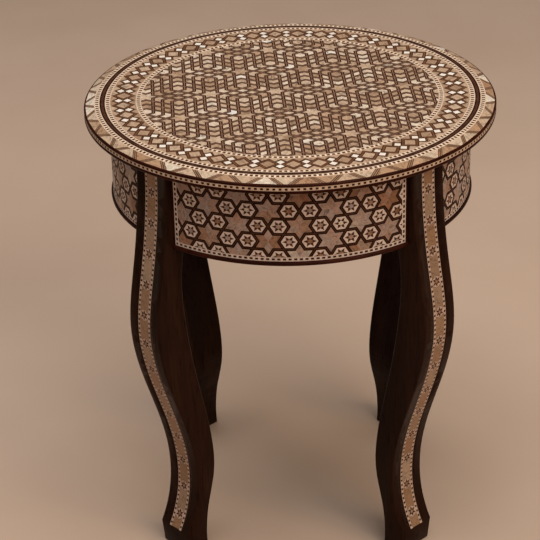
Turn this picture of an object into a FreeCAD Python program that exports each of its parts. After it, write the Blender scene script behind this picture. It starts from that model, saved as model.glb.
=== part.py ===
import FreeCAD, Part
import math
import os

from FreeCAD import Vector

# Driving dimensions in millimetres, heights measured up from the floor
table_height = 449.0
top_radius = 200.0
top_thickness = 12.0
inlay_thickness = 2.0

# Outer radii of the inlaid bands of the top, from the middle outwards
star_field_radius = 144.3
inner_dots_radius = 149.7
diamond_band_radius = 174.1
middle_dots_radius = 179.5
dark_ring_radius = 184.6
outer_dots_radius = 189.9
border_radius = 198.6

# The top rounds over from the dark ring to its edge
edge_curve_radius = 35.0

# Rim of the top, from the underside up
lower_line_height = 2.9
rim_strip_height = 3.5
rim_strip_outer = 199.5

# Star field: stars stand on a triangular lattice, a hexagon in each triangle
lattice_step = 63.0
lattice_turn = 4.6
lattice_centre = Vector(-14.1, 7.9, 0)
star_edge_distance = 5.15
field_margin = 3.0
lattice_reach = 4

# Diamond band
diamond_count = 43
diamond_turn = 175.3
diamond_centre_radius = 162.3
diamond_half = 6.8
white_half = 3.4
white_offset = 4.3

# Apron
apron_radius = 176.4
apron_thickness = 16.0
apron_bottom = 353.0
bead_height = 4.6
bead_proud = 2.0
bead_round = 2.4
apron_inlay_depth = 1.8
apron_inlay_angle = 37.35
apron_inlay_top = 433.0
dot_frame_width = 4.2

# Legs, sawn to shape: radius from the table's axis and height of each point that bends the outline
leg_width = 42.2
leg_outer = [(181.0, 437.0), (181.6, 400.0), (190.5, 330.0), (199.1, 266.0),
             (184.5, 194.0), (162.3, 122.0), (158.3, 86.0), (173.4, 25.5)]
leg_inner = [(147.6, 0.0), (148.0, 27.0), (144.6, 50.0), (136.0, 84.0), (136.4, 124.0),
             (150.7, 194.0), (164.2, 270.0), (165.2, 332.0), (157.5, 362.0)]
foot_outer = 170.2
leg_strip_width = 17.0
leg_strip_depth = 1.6

# Joinery
dowel_radius = 4.0
dowel_length = 26.0
dowel_seat = 165.0
dowel_heights = (378.0, 416.0)
block_width = 36.0
block_depth = 22.0
block_height = 22.0
screw_shank = 1.75
screw_head = 3.5
screw_head_height = 2.0
screw_length = 28.0
screw_spread = 9.0

# Heights and radii that follow
top_underside = table_height - top_thickness
panel_bottom = apron_bottom + bead_height
apron_inner = apron_radius - apron_thickness
inlay_bed = table_height - inlay_thickness
curve_centre = Vector(dark_ring_radius, 0, table_height - edge_curve_radius)

up = Vector(0, 0, 1)
axis_foot = Vector(0, 0, 0)
sides = {"front": 270.0, "right": 0.0, "back": 90.0, "left": 180.0}
corners = {"front_left": 225.0, "front_right": 315.0, "back_right": 45.0, "back_left": 135.0}


def turned(shape, degrees):
    copy = shape.copy()
    copy.rotate(axis_foot, up, degrees)
    return copy


def ring(inner, outer, low, high):
    solid = Part.makeCylinder(outer, high - low, Vector(0, 0, low))
    if inner > 0:
        solid = solid.cut(Part.makeCylinder(inner, high - low, Vector(0, 0, low)))
    return solid


def sector(inner, outer, low, high, half_angle):
    solid = Part.makeCylinder(outer, high - low, Vector(0, 0, low), up, 2 * half_angle)
    solid = solid.cut(Part.makeCylinder(inner, high - low, Vector(0, 0, low)))
    return turned(solid, -half_angle)


def revolved(edges):
    return Part.Face(Part.Wire(Part.__sortEdges__(edges))).revolve(axis_foot, up, 360)


def line(start, end):
    return Part.makeLine(start, end)


def arc(start, middle, end):
    return Part.Arc(start, middle, end).toShape()


def at(radius, height):
    return Vector(radius, 0, height)


def edge_point(radius, depth):
    run = radius - curve_centre.x
    reach = edge_curve_radius - depth
    return at(radius, curve_centre.z + math.sqrt(reach * reach - run * run))


def edge_arc(inner, outer, depth):
    middle = (inner + outer) / 2
    return arc(edge_point(inner, depth), edge_point(middle, depth), edge_point(outer, depth))


def prism(points):
    face = Part.Face(Part.makePolygon(points + points[:1]))
    return face.extrude(Vector(0, 0, inlay_thickness))


def export(shape, name):
    shape.exportStep("parts/" + name + ".step")


def curved_band(inner, outer):
    edges = [edge_arc(inner, outer, 0), edge_arc(inner, outer, inlay_thickness)]
    edges.append(line(edge_point(inner, 0), edge_point(inner, inlay_thickness)))
    edges.append(line(edge_point(outer, 0), edge_point(outer, inlay_thickness)))
    return revolved(edges)


def top_panel():
    corner = edge_point(border_radius, inlay_thickness)
    edges = [edge_arc(dark_ring_radius, border_radius, inlay_thickness)]
    edges.append(line(at(0, top_underside), at(border_radius, top_underside)))
    edges.append(line(at(border_radius, top_underside), corner))
    edges.append(line(at(dark_ring_radius, inlay_bed), at(0, inlay_bed)))
    edges.append(line(at(0, inlay_bed), at(0, top_underside)))
    return revolved(edges)


def lattice_points(offset):
    points = []
    for row in range(-lattice_reach, lattice_reach + 1):
        for column in range(-lattice_reach, lattice_reach + 1):
            across = (column + row / 2 + offset.x) * lattice_step
            along = (row * math.sqrt(3) / 2 + offset.y) * lattice_step
            spot = Vector(across, along, 0)
            turn = FreeCAD.Rotation(up, lattice_turn)
            points.append(turn.multVec(spot) + lattice_centre)
    return points


def polygon_at(spot, radii, first_angle):
    step = 360.0 / len(radii)
    points = []
    for index, radius in enumerate(radii):
        angle = math.radians(first_angle + index * step)
        shift = Vector(radius * math.cos(angle), radius * math.sin(angle), inlay_bed)
        points.append(spot + shift)
    return points


def star_tiles():
    tip = 2 * star_edge_distance
    notch = star_edge_distance / math.cos(math.radians(30))
    spots = [spot for spot in lattice_points(Vector(0, 0, 0))
             if spot.Length + tip + field_margin < star_field_radius]
    return [prism(polygon_at(spot, [tip, notch] * 6, lattice_turn)) for spot in spots]


def hexagon_tiles():
    corner = star_edge_distance / math.cos(math.radians(30))
    rise = math.sqrt(3) / 6
    spots = lattice_points(Vector(0.5, rise, 0)) + lattice_points(Vector(0.5, -rise, 0))
    spots = [spot for spot in spots if spot.Length + corner + field_margin < star_field_radius]
    return [prism(polygon_at(spot, [corner] * 6, lattice_turn + 30)) for spot in spots]


def band_tiles(radius, half, first_angle):
    tiles = []
    for index in range(diamond_count):
        angle = first_angle + index * 360.0 / diamond_count
        tile = prism(polygon_at(Vector(radius, 0, 0), [half] * 4, 0))
        tiles.append(turned(tile, angle))
    return tiles


def leg_curve(points):
    curve = Part.BSplineCurve()
    curve.interpolate([at(*point) for point in points])
    return curve.toShape()


def leg_strip():
    inward = Vector(-leg_strip_depth, 0, 0)
    outer = leg_curve(leg_outer)
    bed = outer.copy()
    bed.translate(inward)
    head = at(*leg_outer[0])
    toe = at(*leg_outer[-1])
    edges = [outer, bed, line(head, head + inward), line(toe, toe + inward)]
    face = Part.Face(Part.Wire(Part.__sortEdges__(edges)))
    face.translate(Vector(0, -leg_strip_width / 2, 0))
    return face.extrude(Vector(0, leg_strip_width, 0))


def leg_body():
    head_outer = at(*leg_outer[0])
    head_inner = at(leg_inner[-1][0], leg_outer[0][1])
    edges = [leg_curve(leg_outer), leg_curve(leg_inner)]
    edges.append(line(at(*leg_outer[-1]), at(foot_outer, 0)))
    edges.append(line(at(foot_outer, 0), at(*leg_inner[0])))
    edges.append(line(at(*leg_inner[-1]), head_inner))
    edges.append(line(head_inner, head_outer))
    face = Part.Face(Part.Wire(Part.__sortEdges__(edges)))
    face.translate(Vector(0, -leg_width / 2, 0))
    return face.extrude(Vector(0, leg_width, 0)).cut(leg_strip())


def dowels_at_leg():
    pins = []
    for height in dowel_heights:
        for side in (-1, 1):
            start = Vector(dowel_seat, side * (leg_width - dowel_length) / 2, height)
            pins.append(Part.makeCylinder(dowel_radius, dowel_length, start, Vector(0, side, 0)))
    return pins


def screw(tip_direction, head_spot):
    head = Part.makeCone(screw_head, screw_shank, screw_head_height, head_spot, tip_direction)
    shank = Part.makeCylinder(screw_shank, screw_length, head_spot, tip_direction)
    return head.fuse(shank).removeSplitter()


def block_body():
    low = top_underside - block_height
    corner = Vector(apron_inner - block_depth, -block_width / 2, low)
    box = Part.makeBox(block_depth, block_width, block_height, corner)
    return box.common(Part.makeCylinder(apron_inner, block_height, Vector(0, 0, low)))


def block_screws():
    inner_face = apron_inner - block_depth
    rising = Vector(inner_face + block_depth / 2, -screw_spread, top_underside - block_height)
    level = Vector(inner_face, screw_spread, top_underside - block_height / 2)
    return [screw(up, rising), screw(Vector(1, 0, 0), level)]


def bead_ring():
    nose = apron_radius + bead_proud
    shoulder = nose - bead_round
    low = apron_bottom
    high = panel_bottom
    edges = [arc(at(shoulder, low), at(nose, (low + high) / 2), at(shoulder, high))]
    edges.append(line(at(shoulder, low), at(apron_inner, low)))
    edges.append(line(at(apron_inner, low), at(apron_inner, high)))
    edges.append(line(at(apron_inner, high), at(shoulder, high)))
    return revolved(edges)


def between_legs(shape):
    reach = 2 * top_radius
    slab = Part.makeBox(reach, leg_width, table_height, Vector(-reach / 2, -leg_width / 2, 0))
    pieces = shape.cut(turned(slab, 45)).cut(turned(slab, -45)).Solids
    return max(pieces, key=lambda piece: piece.CenterOfMass.x)


os.makedirs("parts", exist_ok=True)

# Joinery first, because the pieces round it are cut to receive it
dowels = [turned(pin, angle) for angle in corners.values() for pin in dowels_at_leg()]
screws = [turned(one, angle) for angle in sides.values() for one in block_screws()]
export(Part.makeCompound(dowels), "apron_dowels")
export(Part.makeCompound(screws), "block_screws")

# Top: core, mosaic plates and bands, then the rim
export(top_panel().cut(screws), "top_panel")

stars = star_tiles()
hexagons = hexagon_tiles()
field = ring(0, star_field_radius, inlay_bed, table_height)
export(field.cut(stars + hexagons), "top_star_field")
export(Part.makeCompound(stars), "top_star_tiles")
export(Part.makeCompound(hexagons), "top_hexagon_tiles")

half_step = 180.0 / diamond_count
diamonds = band_tiles(diamond_centre_radius, diamond_half, diamond_turn + half_step)
whites = band_tiles(diamond_centre_radius - white_offset, white_half, diamond_turn)
whites += band_tiles(diamond_centre_radius + white_offset, white_half, diamond_turn)
band = ring(inner_dots_radius, diamond_band_radius, inlay_bed, table_height)
export(band.cut(diamonds + whites), "top_diamond_band")
export(Part.makeCompound(diamonds), "top_diamond_tiles")
export(Part.makeCompound(whites), "top_white_tiles")

export(ring(star_field_radius, inner_dots_radius, inlay_bed, table_height), "top_inner_dot_ring")
export(ring(diamond_band_radius, middle_dots_radius, inlay_bed, table_height), "top_middle_dot_ring")
export(ring(middle_dots_radius, dark_ring_radius, inlay_bed, table_height), "top_dark_ring")
export(curved_band(dark_ring_radius, outer_dots_radius), "top_outer_dot_ring")
export(curved_band(outer_dots_radius, border_radius), "top_border_ring")

strip_low = top_underside + lower_line_height
strip_high = strip_low + rim_strip_height
export(ring(border_radius, rim_strip_outer, strip_low, strip_high), "top_rim_strip")

bead_low = at(border_radius, strip_high)
bead_high = edge_point(border_radius, 0)
bead_start = at(rim_strip_outer, strip_high)
bead_nose = at(top_radius, (strip_high + bead_high.z) / 2)
bead_edges = [line(bead_high, bead_low), line(bead_low, bead_start), arc(bead_start, bead_nose, bead_high)]
export(revolved(bead_edges), "top_edge_bead")

line_start = at(rim_strip_outer, top_underside)
line_end = at(rim_strip_outer, strip_low)
line_edges = [arc(line_start, at(top_radius, (top_underside + strip_low) / 2), line_end)]
line_edges.append(line(line_start, at(border_radius, top_underside)))
line_edges.append(line(at(border_radius, top_underside), at(border_radius, strip_low)))
line_edges.append(line(at(border_radius, strip_low), line_end))
export(revolved(line_edges), "top_lower_line")

# Apron: one curved panel between each pair of legs, with its inlay, frame, bead and block
inlay_inner = apron_radius - apron_inlay_depth
frame_angle = math.degrees(dot_frame_width / apron_radius)
inlay = sector(inlay_inner, apron_radius, panel_bottom, apron_inlay_top, apron_inlay_angle)
star_panel = sector(inlay_inner, apron_radius, panel_bottom + dot_frame_width,
                    apron_inlay_top - dot_frame_width, apron_inlay_angle - frame_angle)
panel = between_legs(ring(apron_inner, apron_radius, panel_bottom, top_underside)).cut(inlay)
bead = between_legs(bead_ring())

for side, angle in sides.items():
    export(turned(panel, angle).cut(dowels + screws), "apron_panel_" + side)
    export(turned(star_panel, angle), "apron_star_panel_" + side)
    export(turned(inlay.cut(star_panel), angle), "apron_dot_frame_" + side)
    export(turned(bead, angle), "apron_bead_" + side)
    export(turned(block_body(), angle).cut(screws), "top_block_" + side)

# Legs with the strips let into their outward faces
leg = leg_body().cut(dowels_at_leg())
strip = leg_strip()
for corner, angle in corners.items():
    export(turned(leg, angle), "leg_" + corner)
    export(turned(strip, angle), "leg_strip_" + corner)
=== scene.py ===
import bmesh
import bpy
import math
import random
from mathutils import Matrix, Vector


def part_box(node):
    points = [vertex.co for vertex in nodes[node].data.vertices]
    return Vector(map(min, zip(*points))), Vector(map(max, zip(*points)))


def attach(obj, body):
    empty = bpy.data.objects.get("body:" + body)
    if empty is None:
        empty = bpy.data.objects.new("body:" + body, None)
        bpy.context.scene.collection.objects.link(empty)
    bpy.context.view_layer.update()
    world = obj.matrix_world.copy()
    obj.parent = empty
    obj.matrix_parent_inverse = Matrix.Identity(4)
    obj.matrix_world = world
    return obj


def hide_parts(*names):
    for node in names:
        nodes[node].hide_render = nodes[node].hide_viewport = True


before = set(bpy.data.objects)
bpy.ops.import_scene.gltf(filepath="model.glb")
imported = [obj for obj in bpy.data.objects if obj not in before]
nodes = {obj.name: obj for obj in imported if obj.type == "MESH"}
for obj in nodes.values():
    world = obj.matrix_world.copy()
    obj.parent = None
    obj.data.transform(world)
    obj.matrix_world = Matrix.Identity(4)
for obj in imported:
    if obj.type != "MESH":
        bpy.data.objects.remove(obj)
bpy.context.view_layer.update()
mm = 0.001
weld = 0.02 * mm              # corners closer than this become one
fullTurn = 2 * math.pi
hexSlope = math.tan(math.radians(30))     # slope of the lines in a pattern of hexagons
print("frame loaded:", len(nodes), "nodes")

# side name -> direction it faces, corner name -> direction of its leg
sides = {"front": 270, "right": 0, "back": 90, "left": 180}
corners = {"front_left": 225, "front_right": 315, "back_right": 45, "back_left": 135}


# Materials

def srgb(red, green, blue):
    parts = [value / 255 for value in (red, green, blue)]
    return [p / 12.92 if p < 0.04045 else ((p + 0.055) / 1.055) ** 2.4 for p in parts] + [1]


def startMaterial(name, roughness, specular=0.25):
    material = bpy.data.materials.new(name)
    material.use_nodes = True
    shader = material.node_tree.nodes["Principled BSDF"]
    shader.inputs["Roughness"].default_value = roughness
    shader.inputs["Specular IOR Level"].default_value = specular
    return material, material.node_tree, shader


def addNode(tree, kind, values=None, **options):
    added = tree.nodes.new("ShaderNode" + kind)
    for option, value in options.items():
        setattr(added, option, value)
    for socket, value in (values or {}).items():
        added.inputs[socket].default_value = value
    return added


def colourRamp(tree, factor, stops):
    ramp = addNode(tree, "ValToRGB")
    elements = ramp.color_ramp.elements
    while len(elements) < len(stops):
        elements.new(0.5)
    for element, (place, colour) in zip(elements, stops):
        element.position = place
        element.color = colour
    tree.links.new(factor, ramp.inputs["Fac"])
    return ramp.outputs["Color"]


def mixColours(tree, share, first, second, blend="MIX"):
    mix = addNode(tree, "Mix", {0: share}, data_type="RGBA", blend_type=blend)
    tree.links.new(first, mix.inputs[6])
    tree.links.new(second, mix.inputs[7])
    return mix.outputs[2]


def stretchedNoise(tree, vector, stretch, scale, detail=4.0, roughness=0.55, distortion=0.0):
    mapping = addNode(tree, "Mapping", {"Scale": stretch})
    tree.links.new(vector, mapping.inputs["Vector"])
    noise = addNode(tree, "TexNoise", {"Scale": scale, "Detail": detail, "Roughness": roughness,
                                       "Distortion": distortion})
    tree.links.new(mapping.outputs["Vector"], noise.inputs["Vector"])
    return noise.outputs["Fac"]


def glossAndBump(tree, shader, height, gloss, bump):
    remap = addNode(tree, "MapRange", {"To Min": gloss[0], "To Max": gloss[1]})
    tree.links.new(height, remap.inputs["Value"])
    tree.links.new(remap.outputs["Result"], shader.inputs["Roughness"])
    relief = addNode(tree, "Bump", {"Strength": bump[0], "Distance": bump[1]})
    tree.links.new(height, relief.inputs["Height"])
    tree.links.new(relief.outputs["Normal"], shader.inputs["Normal"])


def objectPlace(tree):
    return addNode(tree, "TexCoord").outputs["Object"]


def grey(value):
    return [value, value, value, 1]


shellLook = {
    "swing": 61.0,                      # how far a tile's tone turns its growth lines
    "lines": {"stretch": (1, 0.22, 0.5), "detail": 5, "roughness": 0.6, "distortion": 1.2},
    "lineStops": (0.30, 0.52, 0.74),
    "sheen": {"stretch": (1, 1, 1), "scale": 110, "detail": 2, "roughness": 0.5, "distortion": 2.0},
    "tints": [(0.30, srgb(236, 205, 190)), (0.45, srgb(255, 250, 245)),
              (0.60, srgb(214, 222, 208)), (0.72, srgb(222, 204, 222))],
    "gloss": (0.24, 0.42),
    "bump": (0.08, 0.4 * mm),
}


# every piece of shell has its own tone, and its growth lines run their own way
def shellMaterial(name, stops, lineDepth, rainbow, lineScale=420):
    look = shellLook
    material, tree, shader = startMaterial(name, roughness=0.3)
    tone = addNode(tree, "Attribute", attribute_name="tone").outputs["Fac"]
    turn = addNode(tree, "Math", {1: look["swing"]}, operation="MULTIPLY")
    tree.links.new(tone, turn.inputs[0])
    rotate = addNode(tree, "VectorRotate", rotation_type="EULER_XYZ")
    angles = addNode(tree, "CombineXYZ")
    for axis in ("X", "Y", "Z"):
        tree.links.new(turn.outputs[0], angles.inputs[axis])
    tree.links.new(objectPlace(tree), rotate.inputs["Vector"])
    tree.links.new(angles.outputs["Vector"], rotate.inputs["Rotation"])
    growth = stretchedNoise(tree, rotate.outputs["Vector"], scale=lineScale, **look["lines"])
    sheen = stretchedNoise(tree, rotate.outputs["Vector"], **look["sheen"])
    base = colourRamp(tree, tone, stops)
    base = mixColours(tree, rainbow, base, colourRamp(tree, sheen, look["tints"]), "MULTIPLY")
    greys = [grey(1 - 2 * lineDepth), grey(1), grey(1 - lineDepth)]
    lines = colourRamp(tree, growth, list(zip(look["lineStops"], greys)))
    tree.links.new(mixColours(tree, 1.0, base, lines, "MULTIPLY"), shader.inputs["Base Color"])
    glossAndBump(tree, shader, growth, look["gloss"], look["bump"])
    return material


woodLook = {
    "grain": {"scale": 60, "detail": 6, "roughness": 0.62, "distortion": 0.8},
    "grainStops": (0.28, 0.52, 0.76),
    "cloud": {"stretch": (1, 1, 0.5), "scale": 14, "detail": 2, "roughness": 0.5},
    "cloudStops": (0.35, 0.65),
    "cloudShare": 0.5,
    "pores": {"scale": 360, "detail": 3, "roughness": 0.6},
    "poreStops": [(0.34, [0.45, 0.42, 0.4, 1]), (0.5, grey(1))],
    "poreShare": 0.7,
    "bump": (0.12, 0.3 * mm),
}
uprightGrain = (1, 1, 0.1)
levelGrain = (0.1, 1, 1)


# wood streaked along its grain, clouded between two of its colours, with darker pores
def woodMaterial(name, deep, mid, streak, along, gloss=(0.28, 0.46), specular=0.06):
    look = woodLook
    material, tree, shader = startMaterial(name, roughness=0.3, specular=specular)
    place = objectPlace(tree)
    grain = stretchedNoise(tree, place, along, **look["grain"])
    cloud = stretchedNoise(tree, place, **look["cloud"])
    pores = stretchedNoise(tree, place, along, **look["pores"])
    base = colourRamp(tree, grain, list(zip(look["grainStops"], (deep, mid, streak))))
    clouded = colourRamp(tree, cloud, list(zip(look["cloudStops"], (deep, mid))))
    base = mixColours(tree, look["cloudShare"], base, clouded)
    dark = colourRamp(tree, pores, look["poreStops"])
    pored = mixColours(tree, look["poreShare"], base, dark, "MULTIPLY")
    tree.links.new(pored, shader.inputs["Base Color"])
    glossAndBump(tree, shader, pores, gloss, look["bump"])
    return material


stringingLook = {
    "grain": {"stretch": (1, 1, 1), "scale": 900, "detail": 4, "roughness": 0.6, "distortion": 0.6},
    "patches": {"stretch": (1, 1, 1), "scale": 120, "detail": 2, "roughness": 0.5},
    "patchStops": (0.3, 0.7),
    "specks": [(0.32, [0.72, 0.69, 0.66, 1]), (0.55, grey(1))],
    "speckShare": 0.8,
    "bump": (0.08, 0.2 * mm),
}


# bone and thin wood: soft patches between two colours, with a fine grain
def stringingMaterial(name, low, high, gloss=(0.3, 0.48), specular=0.1):
    look = stringingLook
    material, tree, shader = startMaterial(name, roughness=0.4, specular=specular)
    place = objectPlace(tree)
    grain = stretchedNoise(tree, place, **look["grain"])
    patches = stretchedNoise(tree, place, **look["patches"])
    base = colourRamp(tree, patches, list(zip(look["patchStops"], (low, high))))
    specks = colourRamp(tree, grain, look["specks"])
    speckled = mixColours(tree, look["speckShare"], base, specks, "MULTIPLY")
    tree.links.new(speckled, shader.inputs["Base Color"])
    glossAndBump(tree, shader, grain, gloss, look["bump"])
    return material


steelLook = {
    "brushing": {"stretch": (1, 1, 0.2), "scale": 900},
    "stops": [(0.3, srgb(150, 150, 152)), (0.7, srgb(196, 194, 190))],
    "gloss": (0.3, 0.5),
    "bump": (0.1, 0.2 * mm),
}


def steelMaterial(name):
    look = steelLook
    material, tree, shader = startMaterial(name, roughness=0.35)
    shader.inputs["Metallic"].default_value = 1.0
    brushing = stretchedNoise(tree, objectPlace(tree), **look["brushing"])
    tree.links.new(colourRamp(tree, brushing, look["stops"]), shader.inputs["Base Color"])
    glossAndBump(tree, shader, brushing, look["gloss"], look["bump"])
    return material


pearl = shellMaterial("tan_pearl", [
    (0.0, srgb(164, 128, 100)), (0.25, srgb(200, 168, 140)), (0.65, srgb(228, 202, 177)),
    (0.94, srgb(244, 227, 208)), (0.98, srgb(254, 248, 240)),
], lineDepth=0.34, rainbow=0.42, lineScale=300)
rosePearl = shellMaterial("rose_pearl", [
    (0.0, srgb(148, 102, 72)), (0.25, srgb(172, 131, 107)), (0.5, srgb(186, 154, 139)),
    (0.75, srgb(184, 163, 156)), (0.92, srgb(210, 188, 172)), (1.0, srgb(236, 220, 204)),
], lineDepth=0.3, rainbow=0.78, lineScale=300)
whitePearl = shellMaterial("white_pearl", [
    (0.0, srgb(238, 224, 209)), (1.0, srgb(252, 243, 232)),
], lineDepth=0.04, rainbow=0.09)
borderPearl = shellMaterial("border_pearl", [
    (0.0, srgb(180, 138, 104)), (0.25, srgb(198, 164, 134)), (0.5, srgb(210, 182, 155)),
    (0.8, srgb(224, 200, 176)), (1.0, srgb(248, 234, 218)),
], lineDepth=0.3, rainbow=0.6)
legPearl = shellMaterial("leg_pearl", [
    (0.0, srgb(158, 118, 86)), (0.35, srgb(166, 128, 98)), (0.6, srgb(160, 130, 106)),
    (0.85, srgb(174, 144, 118)), (1.0, srgb(190, 162, 136)),
], lineDepth=0.24, rainbow=0.42)

dull = (0.35, 0.5)
bone = stringingMaterial("bone", srgb(232, 210, 186), srgb(250, 232, 212))
warmBone = stringingMaterial("warm_bone", srgb(210, 181, 155), srgb(232, 204, 178))
roseBone = stringingMaterial("rose_bone", srgb(190, 160, 140), srgb(212, 183, 163), specular=0.3)
paleBone = stringingMaterial("pale_bone", srgb(213, 189, 174), srgb(233, 211, 198))
petalBone = stringingMaterial("petal_bone", srgb(180, 150, 132), srgb(204, 174, 154), specular=0.3)
rimBone = stringingMaterial("rim_bone", srgb(198, 168, 144), srgb(220, 190, 166))
tanStringing = stringingMaterial("tan_stringing", srgb(134, 102, 78), srgb(160, 126, 100))
brownStringing = stringingMaterial("brown_stringing", srgb(122, 90, 70), srgb(152, 118, 96))
frameStringing = stringingMaterial("frame_stringing", srgb(96, 60, 36), srgb(122, 82, 55))
blockStringing = stringingMaterial("block_stringing", srgb(78, 41, 19), srgb(100, 56, 29), specular=0.05)
umberStringing = stringingMaterial("umber_stringing", srgb(65, 37, 25), srgb(86, 55, 40), dull, 0.05)
dotStringing = stringingMaterial("dot_stringing", srgb(48, 20, 11), srgb(68, 33, 19), dull)
darkStringing = stringingMaterial("dark_stringing", srgb(46, 20, 8), srgb(66, 32, 15), dull, 0.05)
blackStringing = stringingMaterial("black_stringing", srgb(30, 10, 3), srgb(46, 19, 8), dull, 0.03)

darkWood = woodMaterial("dark_rosewood", srgb(28, 13, 7), srgb(45, 24, 14), srgb(61, 35, 21),
                        uprightGrain, gloss=(0.22, 0.38), specular=0.05)
darkWoodFlat = woodMaterial("dark_rosewood_flat", srgb(36, 12, 5), srgb(58, 23, 11), srgb(88, 39, 20),
                            levelGrain)
blackWood = woodMaterial("black_wood", srgb(33, 8, 1), srgb(53, 17, 4), srgb(84, 36, 11), levelGrain)
plainWood = woodMaterial("plain_wood", srgb(92, 58, 34), srgb(128, 86, 52), srgb(158, 112, 72),
                         levelGrain, gloss=(0.5, 0.7))
steel = steelMaterial("screw_steel")
print("materials ready")


# Helpers that shape the inlay

tileKinds = ["plain", "star", "arrow", "kite", "hexagon", "diamond", "white", "fill", "tent", "dot",
             "length", "border"]


def onCircle(radius, angle):
    return Vector((radius * math.cos(angle), radius * math.sin(angle), 0))


def regularPoints(centre, radii, firstAngle):
    points = []
    for index, radius in enumerate(radii):
        turn = firstAngle + fullTurn * index / len(radii)
        points.append(centre + Vector((math.cos(turn), math.sin(turn))) * radius)
    return points


# tone gives a piece its own shade, kind says what it is while the pattern is laid
def startInlay():
    bm = bmesh.new()
    bm.faces.layers.float.new("tone")
    bm.faces.layers.int.new("kind")
    return bm


def addTile(bm, points, slotIndex=0, kind="plain"):
    face = bm.faces.new([bm.verts.new(Vector(point).to_3d()) for point in points])
    face.material_index = slotIndex
    face[bm.faces.layers.int["kind"]] = tileKinds.index(kind)
    return face


def ofKind(bm, kind):
    layer = bm.faces.layers.int["kind"]
    return [face for face in bm.faces if face[layer] == tileKinds.index(kind)]


def everything(bm):
    return bm.verts[:] + bm.edges[:] + bm.faces[:]


def partsOf(geom, partType):
    return [part for part in geom if isinstance(part, partType)]


def insetTiles(bm, faces, width, slotIndex, rise=0.0):
    bm.normal_update()
    rims = bmesh.ops.inset_individual(bm, faces=faces, thickness=width, depth=rise, use_even_offset=True)
    for face in rims["faces"]:
        face.material_index = slotIndex


# a lean above 1 leaves only a few tiles bright
def toneTiles(bm, faces, rng, low=0.0, high=1.0, lean=1.0):
    tone = bm.faces.layers.float["tone"]
    for face in faces:
        face[tone] = low + (high - low) * rng.random() ** lean


# a star is six pieces that meet in its middle
def splitStars(bm, stars, rng, spec, firstAngle):
    tone = bm.faces.layers.float["tone"]
    for star in stars:
        middle = star.calc_center_median()
        shared = star[tone] * spec["starShare"]
        tones = [shared + rng.uniform(0, spec["wedgeSpread"]) for wedge in range(6)]
        for wedge in bmesh.ops.poke(bm, faces=[star])["faces"]:
            away = wedge.calc_center_median() - middle
            turn = math.atan2(away.y, away.x) - firstAngle
            wedge[tone] = tones[int(turn / math.radians(60)) % 6]


def repeatRound(bm, count):
    bmesh.ops.spin(bm, geom=everything(bm), cent=(0, 0, 0), axis=(0, 0, 1), dvec=(0, 0, 0),
                   angle=fullTurn - fullTurn / count, steps=count - 1, use_duplicate=True)
    bmesh.ops.remove_doubles(bm, verts=bm.verts[:], dist=weld)


# walls go down from the open edge of a sheet, and the underside closes it
def closeBelow(bm, depth, slotIndex):
    rim = [edge for edge in bm.edges if edge.is_boundary]
    walls = bmesh.ops.extrude_edge_only(bm, edges=rim)["geom"]
    bmesh.ops.translate(bm, verts=partsOf(walls, bmesh.types.BMVert), vec=(0, 0, -depth))
    lowEdges = partsOf(walls, bmesh.types.BMEdge)
    under = bmesh.ops.triangle_fill(bm, edges=lowEdges, use_beauty=True)["geom"]
    for face in partsOf(walls + under, bmesh.types.BMFace):
        face.material_index = slotIndex
    bmesh.ops.recalc_face_normals(bm, faces=bm.faces[:])


def finishPiece(bm, name, materials, replaced, smooth=False):
    mesh = bpy.data.meshes.new(name)
    for face in bm.faces:
        face.smooth = smooth
    bm.to_mesh(mesh)
    bm.free()
    for material in materials:
        mesh.materials.append(material)
    piece = bpy.data.objects.new(name, mesh)
    bpy.context.scene.collection.objects.link(piece)
    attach(piece, "root")
    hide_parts(*replaced)
    return piece


def outerRadius(node):
    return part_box(node)[1].x


# Star field of the top

starField = {
    "step": 63 * mm,                                 # star to star
    "turn": math.radians(4.6),
    "centre": Vector((-14.1 * mm, 7.9 * mm, 0)),
    "reach": 5,                                      # rows of stars each way from the centre
    "tip": 0.208,                                    # star tip, as a share of the step
    "core": 0.5 * mm,                                # half of the brown stringing
    "edge": 1.35 * mm,                               # dark line beside it
    "pillow": 0.2 * mm,                              # slope from the lines up to a tile's face
    "rise": 0.06 * mm,
    # lowest and highest tone and lean of each kind of tile
    "tones": {"star": (0.05, 0.85, 1.0), "arrow": (0.16, 1.0, 1.6), "kite": (0.12, 0.9, 1.4),
              "hexagon": (0.16, 0.9, 1.2)},
    "starShare": 0.6,                                # how far a star's tone goes into its six pieces
    "wedgeSpread": 0.3,
    "trims": 120,
    "seed": 11,
}


# the tiles in one sixth of the pattern round a star, in shares of the step
def tilesRoundStar(tip):
    tipSpot = Vector((tip, 0))
    notch = Vector((tip / 2, tip / 2 * hexSlope))
    cross = Vector(((0.5 + tip) / 2, (0.5 - tip) / 2 * hexSlope))
    ridge = Vector((0.25, 0.25 * hexSlope))
    corner = Vector((0.5, (0.5 - tip) * hexSlope))
    lobe = Vector(((1 - tip) / 2, (1 - tip) / 2 * hexSlope))
    middle = Vector((0.5, 0))

    def over(spot):    # the same spot on the other side of the line to the hexagon
        angle = math.radians(60) - math.atan2(spot.y, spot.x)
        return Vector((math.cos(angle), math.sin(angle))) * spot.length

    def below(spot):
        return Vector((spot.x, -spot.y))

    return [
        ("arrow", [tipSpot, cross, ridge, over(cross), over(tipSpot), notch]),
        ("arrow", [ridge, cross, corner, lobe, over(corner), over(cross)]),
        ("kite", [tipSpot, below(cross), middle, cross]),
        ("kite", [middle, Vector((1 - cross.x, cross.y)), corner, cross]),
    ]


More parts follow.
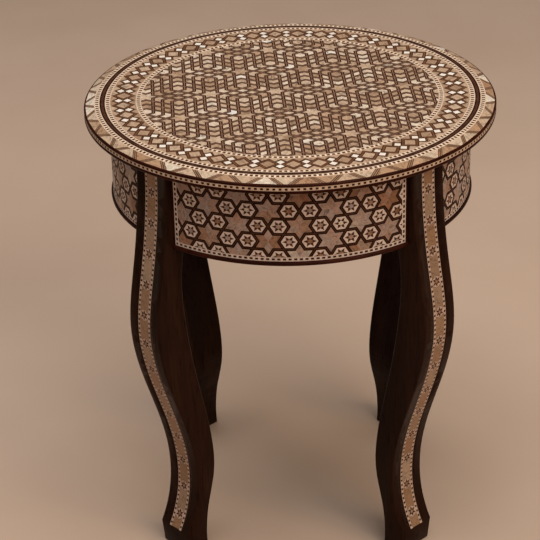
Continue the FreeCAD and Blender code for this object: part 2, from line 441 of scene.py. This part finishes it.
def buildStarField(spec):
    bm = startInlay()
    rng = random.Random(spec["seed"])
    radius = outerRadius("top_star_field")
    low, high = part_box("top_star_field")
    pearlSlot, brownSlot, darkSlot = range(3)
    turned = Matrix.Rotation(spec["turn"], 4, "Z") @ Matrix.Scale(spec["step"], 4)
    place = Matrix.Translation(spec["centre"]) @ turned
    tip = spec["tip"]
    notch = tip / 2 / math.cos(math.radians(30))
    lattice = range(-spec["reach"], spec["reach"] + 1)
    stars = []
    for row in lattice:
        for column in lattice:
            centre = Vector((column + row / 2, row * math.sqrt(3) / 2))
            if (place @ centre.to_3d()).length > radius + spec["step"]:
                continue
            stars.append(addTile(bm, regularPoints(centre, [tip, notch] * 6, 0), pearlSlot, "star"))
            for side in range(6):
                swing = Matrix.Rotation(math.radians(60 * side), 2)
                for kind, points in tilesRoundStar(tip):
                    addTile(bm, [centre + swing @ point for point in points], pearlSlot, kind)
                if side < 2:      # a star has two of the six hexagons for its own
                    heart = centre + swing @ Vector((0.5, 0.5 * hexSlope))
                    addTile(bm, regularPoints(heart, [notch] * 6, math.radians(30)), pearlSlot, "hexagon")
    bmesh.ops.transform(bm, matrix=place, verts=bm.verts[:])
    tiles = bm.faces[:]
    for kind, tones in spec["tones"].items():
        toneTiles(bm, ofKind(bm, kind), rng, *tones)
    insetTiles(bm, tiles, spec["core"], brownSlot)
    insetTiles(bm, tiles, spec["edge"], darkSlot)
    insetTiles(bm, tiles, spec["pillow"], pearlSlot, spec["rise"])
    splitStars(bm, stars, rng, spec, spec["turn"] - math.radians(30))
    bmesh.ops.remove_doubles(bm, verts=bm.verts[:], dist=weld)
    for trim in range(spec["trims"]):    # a ring of straight cuts leaves a round plate
        away = onCircle(1, fullTurn * trim / spec["trims"])
        near = [face for face in bm.faces if max(vert.co.dot(away) for vert in face.verts) > radius]
        geom = dict.fromkeys(part for face in near for part in [face, *face.edges, *face.verts])
        bmesh.ops.bisect_plane(bm, geom=list(geom), plane_co=away * radius, plane_no=away,
                               clear_outer=True)
    bmesh.ops.translate(bm, verts=bm.verts[:], vec=(0, 0, high.z))
    closeBelow(bm, high.z - low.z, darkSlot)
    finishPiece(bm, "star_field", [pearl, brownStringing, darkStringing],
                ["top_star_field", "top_star_tiles", "top_hexagon_tiles"])


buildStarField(starField)
print("star field laid")


# Rings of dotted stringing

dottedRings = {
    "top_inner_dot_ring": {"inner": "top_star_field", "count": 190, "line": 1.2 * mm, "dot": 2.75 * mm},
    "top_middle_dot_ring": {"inner": "top_diamond_band", "count": 234, "line": 1.2 * mm, "dot": 2.7 * mm},
    "top_outer_dot_ring": {"inner": "top_dark_ring", "count": 248, "line": 1.15 * mm, "dot": 2.7 * mm},
}
edgeCurve = {"radius": 35 * mm}    # the top rounds over outside the dark ring
plateLow, plateHigh = (corner.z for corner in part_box("top_star_field"))


def roundOver(bm):
    flatRadius = outerRadius("top_dark_ring")
    bend = edgeCurve["radius"]
    for vert in bm.verts:
        run = max(math.hypot(vert.co.x, vert.co.y) - flatRadius, 0)
        vert.co.z -= bend - math.sqrt(bend * bend - run * run)


# two bone lines with a row of dark and bone blocks between them
def buildDottedRing(node, spec):
    bm = startInlay()
    lineSlot, dotSlot, boneSlot = range(3)
    inner = outerRadius(spec["inner"])
    outer = outerRadius(node)
    near = inner + spec["line"]
    far = outer - spec["line"]
    half = math.pi / spec["count"]
    dot = spec["dot"] / (near + far)
    lows = [onCircle(near, angle) for angle in (-half, -dot, dot, half)]
    highs = [onCircle(far, angle) for angle in (-half, -dot, dot, half)]
    addTile(bm, [onCircle(inner, -half), *lows, onCircle(inner, half)], lineSlot)
    addTile(bm, [*highs, onCircle(outer, half), onCircle(outer, -half)], lineSlot)
    for index, slotIndex in enumerate((boneSlot, dotSlot, boneSlot)):
        addTile(bm, [lows[index], highs[index], highs[index + 1], lows[index + 1]], slotIndex)
    repeatRound(bm, spec["count"])
    bmesh.ops.translate(bm, verts=bm.verts[:], vec=(0, 0, plateHigh))
    closeBelow(bm, plateHigh - plateLow, dotSlot)
    roundOver(bm)
    name = node.replace("top_", "") + "_inlay"
    finishPiece(bm, name, [warmBone, blockStringing, bone], [node])


for node, spec in dottedRings.items():
    buildDottedRing(node, spec)
print("dotted rings laid")


# Dark ring: a brown band between two black lines

darkRing = {"count": 160, "lineWidth": 1.35 * mm}


def buildDarkRing(spec):
    bm = startInlay()
    lineSlot, bandSlot = range(2)
    inner = outerRadius("top_middle_dot_ring")
    outer = outerRadius("top_dark_ring")
    half = math.pi / spec["count"]
    radii = [inner, inner + spec["lineWidth"], outer - spec["lineWidth"], outer]
    for near, far, slotIndex in zip(radii, radii[1:], (lineSlot, bandSlot, lineSlot)):
        points = [onCircle(near, -half), onCircle(far, -half), onCircle(far, half), onCircle(near, half)]
        addTile(bm, points, slotIndex)
    repeatRound(bm, spec["count"])
    bmesh.ops.translate(bm, verts=bm.verts[:], vec=(0, 0, plateHigh))
    closeBelow(bm, plateHigh - plateLow, lineSlot)
    finishPiece(bm, "dark_ring_inlay", [blackStringing, umberStringing], ["top_dark_ring"])


buildDarkRing(darkRing)
print("dark ring laid")


# Diamond band: large tan diamonds in brown frames, pairs of white ones between them

diamondBand = {
    "count": 43,
    "turn": math.radians(175.3),      # a white pair stands here
    "diamond": 6.8 * mm,
    "white": 3.95 * mm,
    "whiteAway": 4.3 * mm,
    "lineWidth": 0.85 * mm,
    "arrowLine": 0.65 * mm,
    "arrowLean": 0.25 * mm,
    "pillow": 0.2 * mm,
    "rise": 0.06 * mm,
    "fillRise": 0.04 * mm,
    "tones": {"diamond": (0.1, 0.5), "white": (0.0, 1.0), "fill": (0.06, 0.44)},
    "seed": 21,
}


def buildDiamondBand(spec):
    bm = startInlay()
    rng = random.Random(spec["seed"])
    pearlSlot, frameSlot, darkSlot, whiteSlot = range(4)
    low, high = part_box("top_diamond_band")
    inner = outerRadius("top_inner_dot_ring")
    outer = high.x
    centre = (inner + outer) / 2
    half = (outer - inner) / 2
    step = centre * math.pi / spec["count"]       # half of the repeat
    away = spec["whiteAway"]
    line = spec["lineWidth"]
    lean = spec["arrowLean"]

    def tile(points, slotIndex, kind):     # points are (along, out) from the band's middle line
        bent = [onCircle(centre + t, spec["turn"] + (s + step) / centre) for s, t in reversed(points)]
        addTile(bm, bent, slotIndex, kind)

    footS = (step + lean) / 2
    footT = (step - lean) / 2
    quarter = [(step, 0), (step - away, away), (footS, footT)]     # corners shared with the neighbours
    turned = [(-footS, footT), (away - step, away)]
    upper = quarter + [(0, step)] + turned
    tile(upper + [(-s, -t) for s, t in upper], pearlSlot, "diamond")
    for way in (1, -1):
        seat = [(step, 0), (step + away, way * away), (step, 2 * way * away), (step - away, way * away)]
        tile(seat[::way], whiteSlot, "white")
        arrow = [(footS, way * footT), (step - away, way * away), (step, 2 * way * away),
                 (step + away, way * away), (2 * step - footS, way * footT), (step, way * (step - lean))]
        tile(arrow[::way], frameSlot, "arrow")
        for hand in (1, -1):
            corner = [(0, way * step), (hand * footS, way * footT), (hand * step, way * (step - lean)),
                      (hand * step, way * half), (0, way * half)]
            tile(corner[::way * hand], pearlSlot, "fill")
    repeatRound(bm, spec["count"])
    for kind, tones in spec["tones"].items():
        toneTiles(bm, ofKind(bm, kind), rng, *tones)
    diamonds = ofKind(bm, "diamond")
    whites = ofKind(bm, "white")
    arrows = ofKind(bm, "arrow")
    fills = ofKind(bm, "fill")
    frameWidth = (step - spec["diamond"]) / math.sqrt(2)
    insetTiles(bm, diamonds, line, darkSlot)
    insetTiles(bm, diamonds, frameWidth - 2 * line, frameSlot)
    insetTiles(bm, diamonds, line, darkSlot)
    insetTiles(bm, diamonds, spec["pillow"], pearlSlot, spec["rise"])
    insetTiles(bm, whites, (away - spec["white"]) / math.sqrt(2), darkSlot)
    insetTiles(bm, whites, spec["pillow"], whiteSlot, spec["rise"])
    insetTiles(bm, arrows, spec["arrowLine"], darkSlot)
    insetTiles(bm, fills, spec["pillow"], pearlSlot, spec["fillRise"])
    bmesh.ops.translate(bm, verts=bm.verts[:], vec=(0, 0, high.z))
    closeBelow(bm, high.z - low.z, darkSlot)
    finishPiece(bm, "diamond_band", [pearl, frameStringing, darkStringing, whitePearl],
                ["top_diamond_band", "top_diamond_tiles", "top_white_tiles"])


buildDiamondBand(diamondBand)
print("diamond band laid")


# Border of slanting strips and pearl tents, which follows the round edge

borderRing = {
    "count": 34,
    "turn": math.radians(272.0),       # the middle of one strip
    "lean": math.radians(1.3),         # how far a strip slants either way
    "width": math.radians(0.85),       # half of a strip, along the ring
    "layers": (-1, -0.7, -0.16, 0.16, 0.7, 1),     # dark and tan lines across a strip, in shares of width
    "stretch": math.radians(1.4),      # the pieces at the front are laid a little wider
    "front": math.radians(270),
    "edgeLine": 0.35 * mm,
    "tentCuts": 3,                     # a long tent is cut so that it can follow the ring
    "seed": 31,
}


def buildBorder(spec):
    bm = startInlay()
    rng = random.Random(spec["seed"])
    pearlSlot, tanSlot, darkSlot = range(3)
    inner = outerRadius("top_outer_dot_ring")
    edge = outerRadius("top_border_ring")
    outer = edge - spec["edgeLine"]
    part = fullTurn / spec["count"]
    lean = spec["lean"]
    wide = spec["width"]
    start = spec["turn"]

    def slab(low, lowOut, high, highOut, slotIndex, kind="plain"):
        addTile(bm, [onCircle(inner, start + low), onCircle(outer, start + lowOut),
                     onCircle(outer, start + highOut), onCircle(inner, start + high)], slotIndex, kind)

    # one repeat: a strip leaning one way, a tent, a strip leaning back, a tent turned over
    second = part / 2
    shares = spec["layers"]
    for middle, slant in ((0, lean), (second, -lean)):
        for index, (near, far) in enumerate(zip(shares, shares[1:])):
            low = middle + near * wide
            high = middle + far * wide
            slotIndex = tanSlot if index % 2 else darkSlot
            slab(slant + low, low - slant, slant + high, high - slant, slotIndex)
    slab(lean + wide, wide - lean, second - lean - wide, second + lean - wide, pearlSlot, "tent")
    slab(second - lean + wide, second + lean + wide, part + lean - wide, part - lean - wide,
         pearlSlot, "tent")
    repeatRound(bm, spec["count"])
    tents = ofKind(bm, "tent")
    toneTiles(bm, tents, rng)
    middleRadius = (inner + outer) / 2
    rungs = dict.fromkeys(
        side for tent in tents for side in tent.edges
        if (side.verts[0].co.length < middleRadius) == (side.verts[1].co.length < middleRadius))
    bmesh.ops.subdivide_edges(bm, edges=list(rungs), cuts=spec["tentCuts"], use_grid_fill=True)
    rim = [side for side in bm.edges if side.is_boundary and side.verts[0].co.length > middleRadius]
    edgeLine = bmesh.ops.extrude_edge_only(bm, edges=rim)["geom"]
    for vert in partsOf(edgeLine, bmesh.types.BMVert):
        vert.co *= edge / vert.co.length
    for face in partsOf(edgeLine, bmesh.types.BMFace):
        face.material_index = darkSlot
    for vert in bm.verts:
        angle = math.atan2(vert.co.y, vert.co.x)
        shift = spec["stretch"] * math.sin(angle - spec["front"])
        vert.co = onCircle(math.hypot(vert.co.x, vert.co.y), angle + shift)
    bmesh.ops.translate(bm, verts=bm.verts[:], vec=(0, 0, plateHigh))
    closeBelow(bm, plateHigh - plateLow, darkSlot)
    roundOver(bm)
    finishPiece(bm, "border_mosaic", [borderPearl, tanStringing, darkStringing],
                ["top_border_ring"])


buildBorder(borderRing)
print("border laid")


# Dotted strip round the rim

rimStrip = {
    "count": 228,
    "spacer": 1.5 * mm,
    "margin": 0.7 * mm,
    "corner": 0.45 * mm,
    "cornerSegments": 2,
}


def buildRimStrip(spec):
    bm = startInlay()
    boneSlot, dotSlot = range(2)
    low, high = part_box("top_rim_strip")
    inner = outerRadius("top_border_ring")
    part = fullTurn / spec["count"]
    spacer = spec["spacer"] / high.x
    for start, end, kind in ((0, spacer, "plain"), (spacer, part, "dot")):
        points = [(start, low.z), (end, low.z), (end, high.z), (start, high.z)]
        addTile(bm, [onCircle(high.x, angle) + Vector((0, 0, z)) for angle, z in points], boneSlot, kind)
    repeatRound(bm, spec["count"])
    dots = ofKind(bm, "dot")
    insetTiles(bm, dots, spec["margin"], boneSlot)
    for dot in dots:
        dot.material_index = dotSlot
    bmesh.ops.bevel(bm, geom=[vert for dot in dots for vert in dot.verts], offset=spec["corner"],
                    offset_type="OFFSET", affect="VERTICES", segments=spec["cornerSegments"], profile=0.5,
                    material=-1)
    rim = [edge for edge in bm.edges if edge.is_boundary]
    walls = bmesh.ops.extrude_edge_only(bm, edges=rim)["geom"]
    for vert in partsOf(walls, bmesh.types.BMVert):
        vert.co = onCircle(inner, math.atan2(vert.co.y, vert.co.x)) + Vector((0, 0, vert.co.z))
    bmesh.ops.bridge_loops(bm, edges=partsOf(walls, bmesh.types.BMEdge))
    bmesh.ops.recalc_face_normals(bm, faces=bm.faces[:])
    finishPiece(bm, "rim_strip_inlay", [rimBone, darkStringing], ["top_rim_strip"])


buildRimStrip(rimStrip)
print("rim laid")


# Apron panels: six-pointed stars tip to tip, a hexagon with a rosette in each gap

apronPanel = {
    "column": 28.75 * mm,              # star column to star column
    "row": 31.2 * mm,                  # star to star in a column
    "starAt": (-77.2 * mm, 408.8 * mm),
    "columns": range(-3, 9),           # counted from that star
    "rows": range(-4, 4),
    "strip": 0.45 * mm,                # half of the brown line in the dark stringing
    "edge": 1.1 * mm,
    "pillow": 0.2 * mm,
    "rise": 0.05 * mm,
    "weld": 0.05 * mm,                 # corners of neighbouring tiles meet within this
    "starShare": 0.5,
    "wedgeSpread": 0.5,
    "rosette": {"tip": 0.86, "notch": 0.57, "root": 0.26},     # shares of the way to the hexagon
    "depth": 1.8 * mm,
    "seed": 41,
}


# a flat sheet (along, up, out) bends round the table's axis to face its side
def bendRound(bm, radius, facing):
    for vert in bm.verts:
        along, height, out = vert.co
        spot = onCircle(radius + out, math.radians(facing) + along / radius)
        vert.co = Vector((spot.x, spot.y, height))


# the length along the bend from the middle of the sheet to a point of the solid
def alongBend(x, radius):
    return math.asin(x / radius) * radius


def cutSheet(bm, half, low, high):
    for spot, away in (((half, 0, 0), (1, 0, 0)), ((-half, 0, 0), (-1, 0, 0)),
                       ((0, high, 0), (0, 1, 0)), ((0, low, 0), (0, -1, 0))):
        bmesh.ops.bisect_plane(bm, geom=everything(bm), plane_co=spot, plane_no=away, clear_outer=True)


# a hexagon becomes a rosette: a star with dark points at its corners, and pale petals between the points
def layRosettes(bm, seats, spec, heartSlot, petalSlot, pointSlot):
    tone = bm.faces.layers.float["tone"]
    for seat in seats:
        outer = list(seat.verts)
        middle = seat.calc_center_median()
        shade = seat[tone]
        bm.faces.remove(seat)
        tips = [bm.verts.new(middle.lerp(corner.co, spec["tip"])) for corner in outer]
        roots = [bm.verts.new(middle.lerp(corner.co, spec["root"])) for corner in outer]
        notches = []
        for index, tip in enumerate(tips):
            between = (tip.co + tips[index - 1].co) / 2
            notches.append(bm.verts.new(middle.lerp(between, spec["notch"])))
        laid = [(bm.faces.new([vert for pair in zip(notches, roots) for vert in pair]), heartSlot)]
        for index, tip in enumerate(tips):
            after = notches[(index + 1) % len(notches)]
            laid.append((bm.faces.new([notches[index], tip, after, roots[index]]), pointSlot))
            petal = [tip, notches[index], tips[index - 1], outer[index - 1], outer[index]]
            laid.append((bm.faces.new(petal), petalSlot))
        for face, slotIndex in laid:
            face.material_index = slotIndex
            face[tone] = shade


def buildApronPanel(side, spec):
    bm = startInlay()
    rng = random.Random(spec["seed"] + sides[side])
    pearlSlot, brownSlot, darkSlot, petalSlot = range(4)
    node = "apron_star_panel_" + side
    low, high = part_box(node)
    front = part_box("apron_star_panel_front")
    radius = -front[0].y
    half = alongBend(front[1].x, radius)
    column = spec["column"]
    row = spec["row"]
    wideOver = column / (row * math.sqrt(3) / 2)
    tip = row / 2
    notch = tip / math.sqrt(3)

    def tile(middle, radii, firstAngle, kind):
        points = regularPoints(Vector((0, 0)), radii, firstAngle)
        addTile(bm, [middle + Vector((point.x * wideOver, point.y)) for point in points], pearlSlot, kind)

    for across in spec["columns"]:
        for upward in spec["rows"]:
            along = spec["starAt"][0] + across * column
            height = spec["starAt"][1] + (upward + (across % 2) / 2) * row
            if abs(along) > half + column or not low.z - row < height < high.z + row:
                continue
            centre = Vector((along, height))
            tile(centre, [tip, notch] * 6, math.radians(90), "star")
            for hand in (1, -1):
                heart = centre + Vector((hand * row / math.sqrt(3) * wideOver, 0))
                tile(heart, [notch] * 6, 0, "hexagon")
    bmesh.ops.remove_doubles(bm, verts=bm.verts[:], dist=spec["weld"])
    stars = ofKind(bm, "star")
    hexagons = ofKind(bm, "hexagon")
    tiles = stars + hexagons
    toneTiles(bm, tiles, rng)
    insetTiles(bm, tiles, spec["strip"], brownSlot)
    insetTiles(bm, tiles, spec["edge"], darkSlot)
    insetTiles(bm, tiles, spec["pillow"], pearlSlot, spec["rise"])
    splitStars(bm, stars, rng, spec, 0)
    layRosettes(bm, hexagons, spec["rosette"], pearlSlot, petalSlot, brownSlot)
    cutSheet(bm, half, low.z, high.z)
    closeBelow(bm, spec["depth"], darkSlot)
    bendRound(bm, radius, sides[side])
    finishPiece(bm, "apron_stars_" + side, [rosePearl, umberStringing, blackStringing, paleBone],
                [node])


for side in sides:
    buildApronPanel(side, apronPanel)
print("apron panels laid")


# Dotted frames round the apron panels

apronFrame = {"pitch": 5.1 * mm, "margin": 1.1 * mm, "depth": 1.8 * mm}


def buildApronFrame(side, spec):
    bm = startInlay()
    boneSlot, dotSlot = range(2)
    node = "apron_dot_frame_" + side
    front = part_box("apron_dot_frame_front")
    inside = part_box("apron_star_panel_front")
    radius = -front[0].y
    half = alongBend(front[1].x, radius)
    innerHalf = alongBend(inside[1].x, radius)
    levels = (front[0].z, inside[0].z, inside[1].z, front[1].z)
    around = round(2 * innerHalf / spec["pitch"])
    upright = round((levels[2] - levels[1]) / spec["pitch"])

    def cell(left, right, low, high):
        addTile(bm, [(left, low), (right, low), (right, high), (left, high)], boneSlot)

    for low, high in (levels[:2], levels[2:]):
        cell(-half, -innerHalf, low, high)
        cell(innerHalf, half, low, high)
        for step in range(around):
            left = -innerHalf + 2 * innerHalf * step / around
            cell(left, left + 2 * innerHalf / around, low, high)
    for step in range(upright):
        low = levels[1] + (levels[2] - levels[1]) * step / upright
        high = low + (levels[2] - levels[1]) / upright
        cell(-half, -innerHalf, low, high)
        cell(innerHalf, half, low, high)
    bmesh.ops.remove_doubles(bm, verts=bm.verts[:], dist=weld)
    dots = bm.faces[:]
    insetTiles(bm, dots, spec["margin"], boneSlot)
    for dot in dots:
        dot.material_index = dotSlot
    closeBelow(bm, spec["depth"], dotSlot)
    bendRound(bm, radius, sides[side])
    finishPiece(bm, "apron_dots_" + side, [paleBone, darkStringing], [node])


for side in sides:
    buildApronFrame(side, apronFrame)
print("apron frames laid")


# Strips down the legs: pearl lengths with rosettes between them and a dotted border at each side

legStrip = {
    "firstRosette": 30.5 * mm,         # down from the head of the leg
    "rosetteStep": 31.2 * mm,
    "border": 3.1 * mm,
    "dotPitch": 5.0 * mm,
    "dotCell": 3.0 * mm,
    "dotMargin": 0.45 * mm,
    "depth": 1.6 * mm,
    "pearlLine": 0.25 * mm,
    "rosette": {"tip": 0.92, "notch": 0.52, "root": 0.2},
    "rosetteTones": (0.3, 0.8),
    "facesOut": 0.3,                   # how far a face of the solid looks outwards, at least
    "seed": 51,
}


# the strip's outward face, read from its solid: (radius, height) from the toe up
def legLine(node, outward, across, facesOut):
    spots = set()
    mesh = nodes[node].data
    for face in mesh.polygons:
        if face.normal.dot(outward) < facesOut:
            continue
        for index in face.vertices:
            co = mesh.vertices[index].co
            if co.dot(across) > 0:
                spots.add((round(co.z, 6), round(co.dot(outward), 6)))
    return [Vector((out, height)) for height, out in sorted(spots)]


def alongLine(line, travel):
    for start, end in zip(line, line[1:]):
        length = (end - start).length
        if travel <= length or end is line[-1]:
            return start + (end - start) * (travel / length), (end - start).normalized()
        travel -= length


# a flat sheet (across, along, out) is laid down a leg
def bendDownLeg(bm, line, outward, across):
    for vert in bm.verts:
        side, travel, lift = vert.co
        spot, heading = alongLine(line, travel)
        spot = spot + Vector((heading.y, -heading.x)) * lift
        vert.co = outward * spot.x + across * side + Vector((0, 0, spot.y))


def buildLegStrip(corner, spec):
    bm = startInlay()
    rng = random.Random(spec["seed"] + corners[corner])
    pearlSlot, boneSlot, blackSlot, petalSlot, dotSlot, pointSlot = range(6)
    node = "leg_strip_" + corner
    outward = onCircle(1, math.radians(corners[corner]))
    across = onCircle(1, math.radians(corners[corner] + 90))
    line = legLine(node, outward, across, spec["facesOut"])
    length = sum((end - start).length for start, end in zip(line, line[1:]))
    half = max(vert.co.dot(across) for vert in nodes[node].data.vertices)
    inner = half - spec["border"]
    flat = inner * hexSlope            # half of a rosette's upright side
    hearts = []
    travel = length - spec["firstRosette"]
    while travel > 2 * flat:
        hearts.append(travel)
        travel -= spec["rosetteStep"]
    ends = [length + 2 * flat] + hearts + [-2 * flat]
    for upper, lower in zip(ends, ends[1:]):
        top = upper - flat
        bottom = lower + flat
        points = [(-inner, bottom), (0, bottom + flat), (inner, bottom),
                  (inner, top), (0, top - flat), (-inner, top)]
        addTile(bm, [(x, min(max(y, 0), length)) for x, y in points], pearlSlot, "length")
    for heart in hearts:
        points = regularPoints(Vector((0, heart)), [2 * flat] * 6, math.radians(90))
        addTile(bm, points, boneSlot, "hexagon")
    # the borders share their neighbours' corners
    levels = [0] + [heart + way * flat for heart in reversed(hearts) for way in (-1, 1)] + [length]
    for hand in (1, -1):
        points = [(hand * inner, level) for level in levels] + [(hand * half, length), (hand * half, 0)]
        addTile(bm, points[::-hand], boneSlot, "border")
    bmesh.ops.remove_doubles(bm, verts=bm.verts[:], dist=weld)
    lengths = ofKind(bm, "length")
    seats = ofKind(bm, "hexagon")
    toneTiles(bm, lengths, rng)
    toneTiles(bm, seats, rng, *spec["rosetteTones"])
    insetTiles(bm, lengths, spec["pearlLine"], blackSlot)
    layRosettes(bm, seats, spec["rosette"], pearlSlot, petalSlot, pointSlot)
    # cuts across the sheet part the border into cells, and let the whole strip bend
    cells = round(length / spec["dotPitch"])
    pitch = length / cells
    spacer = pitch - spec["dotCell"]
    starts = [step * pitch for step in range(cells)]
    for level in sorted(starts[1:] + [start + spacer for start in starts]):
        bmesh.ops.bisect_plane(bm, geom=everything(bm), dist=weld, plane_co=(0, level, 0),
                               plane_no=(0, 1, 0))
    dots = [face for face in ofKind(bm, "border") if face.calc_center_bounds().y % pitch > spacer]
    insetTiles(bm, dots, spec["dotMargin"], boneSlot)
    for dot in dots:
        dot.material_index = dotSlot
    closeBelow(bm, spec["depth"], blackSlot)
    bendDownLeg(bm, line, outward, across)
    finishPiece(bm, "leg_inlay_" + corner,
                [legPearl, roseBone, blackStringing, petalBone, dotStringing, umberStringing],
                [node])


for corner in corners:
    buildLegStrip(corner, legStrip)
print("leg strips laid")


# Legs with eased edges

legBody = {
    "ease": 1.3 * mm,
    "segments": 3,
    "shortest": 3 * mm,                # the rims of the dowel holes are cut finer than this
    "weld": 0.01 * mm,
    "sideGap": 0.05 * mm,
    "headGap": 1 * mm,
    "flatAngle": math.radians(0.5),
    "arrisAngle": math.radians(40),
    "smoothAngle": math.radians(32),
}


def buildLeg(corner, spec):
    node = "leg_" + corner
    across = onCircle(1, math.radians(corners[corner] + 90))
    bm = bmesh.new()
    bm.from_mesh(nodes[node].data)
    bmesh.ops.remove_doubles(bm, verts=bm.verts[:], dist=spec["weld"])
    bmesh.ops.dissolve_limit(bm, angle_limit=spec["flatAngle"], verts=bm.verts[:], edges=bm.edges[:])
    half = max(vert.co.dot(across) for vert in bm.verts)
    head = max(vert.co.z for vert in bm.verts)
    arrises = []
    for edge in bm.edges:
        height = (edge.verts[0].co.z + edge.verts[1].co.z) / 2
        atSide = all(abs(abs(vert.co.dot(across)) - half) < spec["sideGap"] for vert in edge.verts)
        sharp = edge.calc_face_angle(0) > spec["arrisAngle"]
        isLong = edge.calc_length() > spec["shortest"]
        if atSide and sharp and isLong and height < head - spec["headGap"]:
            arrises.append(edge)
    bmesh.ops.bevel(bm, geom=arrises, offset=spec["ease"], offset_type="OFFSET", affect="EDGES",
                    segments=spec["segments"], profile=0.5, material=-1, clamp_overlap=True)
    piece = finishPiece(bm, node + "_eased", [darkWood], [node], smooth=True)
    piece.data.set_sharp_from_angle(angle=spec["smoothAngle"])


for corner in corners:
    buildLeg(corner, legBody)
print("legs eased")


# CAD nodes that stay take their finish here

def paint(node, material):
    piece = nodes[node]
    piece.data.materials.clear()
    piece.data.materials.append(material)


paint("top_edge_bead", blackWood)
paint("top_lower_line", blackWood)
for side in sides:
    paint("apron_panel_" + side, darkWoodFlat)
    paint("apron_bead_" + side, darkWoodFlat)
    paint("top_block_" + side, plainWood)
paint("top_panel", plainWood)
paint("apron_dowels", plainWood)
paint("block_screws", steel)
print("solids painted")


# Floor, light and camera

studio = {
    "floorStops": [(0.3, srgb(206, 179, 158)), (0.7, srgb(214, 188, 168))],
    "floorCloud": {"stretch": (1, 1, 1), "scale": 3, "detail": 3},
    "floorRoughness": 0.75,
    "floorSize": 6.0,
    "floorSquares": 8,
    "aim": Vector((0, 0, 0.35)),
    "lights": {
        "topLight": {"place": (-0.1, -0.15, 2.6), "size": 2.4, "power": 43, "colour": (1, 0.96, 0.92)},
        "frontLight": {"place": (0.9, -2.2, 2.3), "size": 1.4, "power": 15, "colour": (1, 0.95, 0.9)},
        "rightLight": {"place": (1.75, -1.45, 2.1), "size": 1.3, "power": 22, "colour": (1, 0.79, 0.57)},
    },
    "worldColour": (1, 0.93, 0.86, 1),
    "worldStrength": 0.15,
}


def buildStudio(spec):
    bm = bmesh.new()
    squares = spec["floorSquares"]
    bmesh.ops.create_grid(bm, x_segments=squares, y_segments=squares, size=spec["floorSize"])
    mesh = bpy.data.meshes.new("floor")
    bm.to_mesh(mesh)
    bm.free()
    material, tree, shader = startMaterial("floor", spec["floorRoughness"])
    cloud = stretchedNoise(tree, objectPlace(tree), **spec["floorCloud"])
    tree.links.new(colourRamp(tree, cloud, spec["floorStops"]), shader.inputs["Base Color"])
    mesh.materials.append(material)
    floor = bpy.data.objects.new("floor", mesh)
    bpy.context.scene.collection.objects.link(floor)
    for name, lampSpec in spec["lights"].items():
        lamp = bpy.data.lights.new(name, "AREA")
        lamp.size = lampSpec["size"]
        lamp.energy = lampSpec["power"]
        lamp.color = lampSpec["colour"]
        holder = bpy.data.objects.new(name, lamp)
        holder.location = lampSpec["place"]
        holder.rotation_euler = (spec["aim"] - holder.location).to_track_quat("-Z", "Y").to_euler()
        bpy.context.scene.collection.objects.link(holder)
    world = bpy.data.worlds.new("studio")
    world.use_nodes = True
    background = world.node_tree.nodes["Background"]
    background.inputs["Color"].default_value = spec["worldColour"]
    background.inputs["Strength"].default_value = spec["worldStrength"]
    bpy.context.scene.world = world


buildStudio(studio)

view = {"place": (0.0239, -1.8119, 1.2129), "pan": 1.490, "tilt": 62.167, "roll": -1.365, "lens": 134.38}
camera = bpy.data.objects.new("camera", bpy.data.cameras.new("camera"))
camera.data.lens = view["lens"]
camera.matrix_world = (Matrix.Translation(view["place"])
                       @ Matrix.Rotation(math.radians(view["pan"]), 4, "Z")
                       @ Matrix.Rotation(math.radians(view["tilt"]), 4, "X")
                       @ Matrix.Rotation(math.radians(view["roll"]), 4, "Z"))
bpy.context.scene.collection.objects.link(camera)
bpy.context.scene.camera = camera
bpy.context.scene.view_settings.view_transform = "Standard"
print("studio ready")
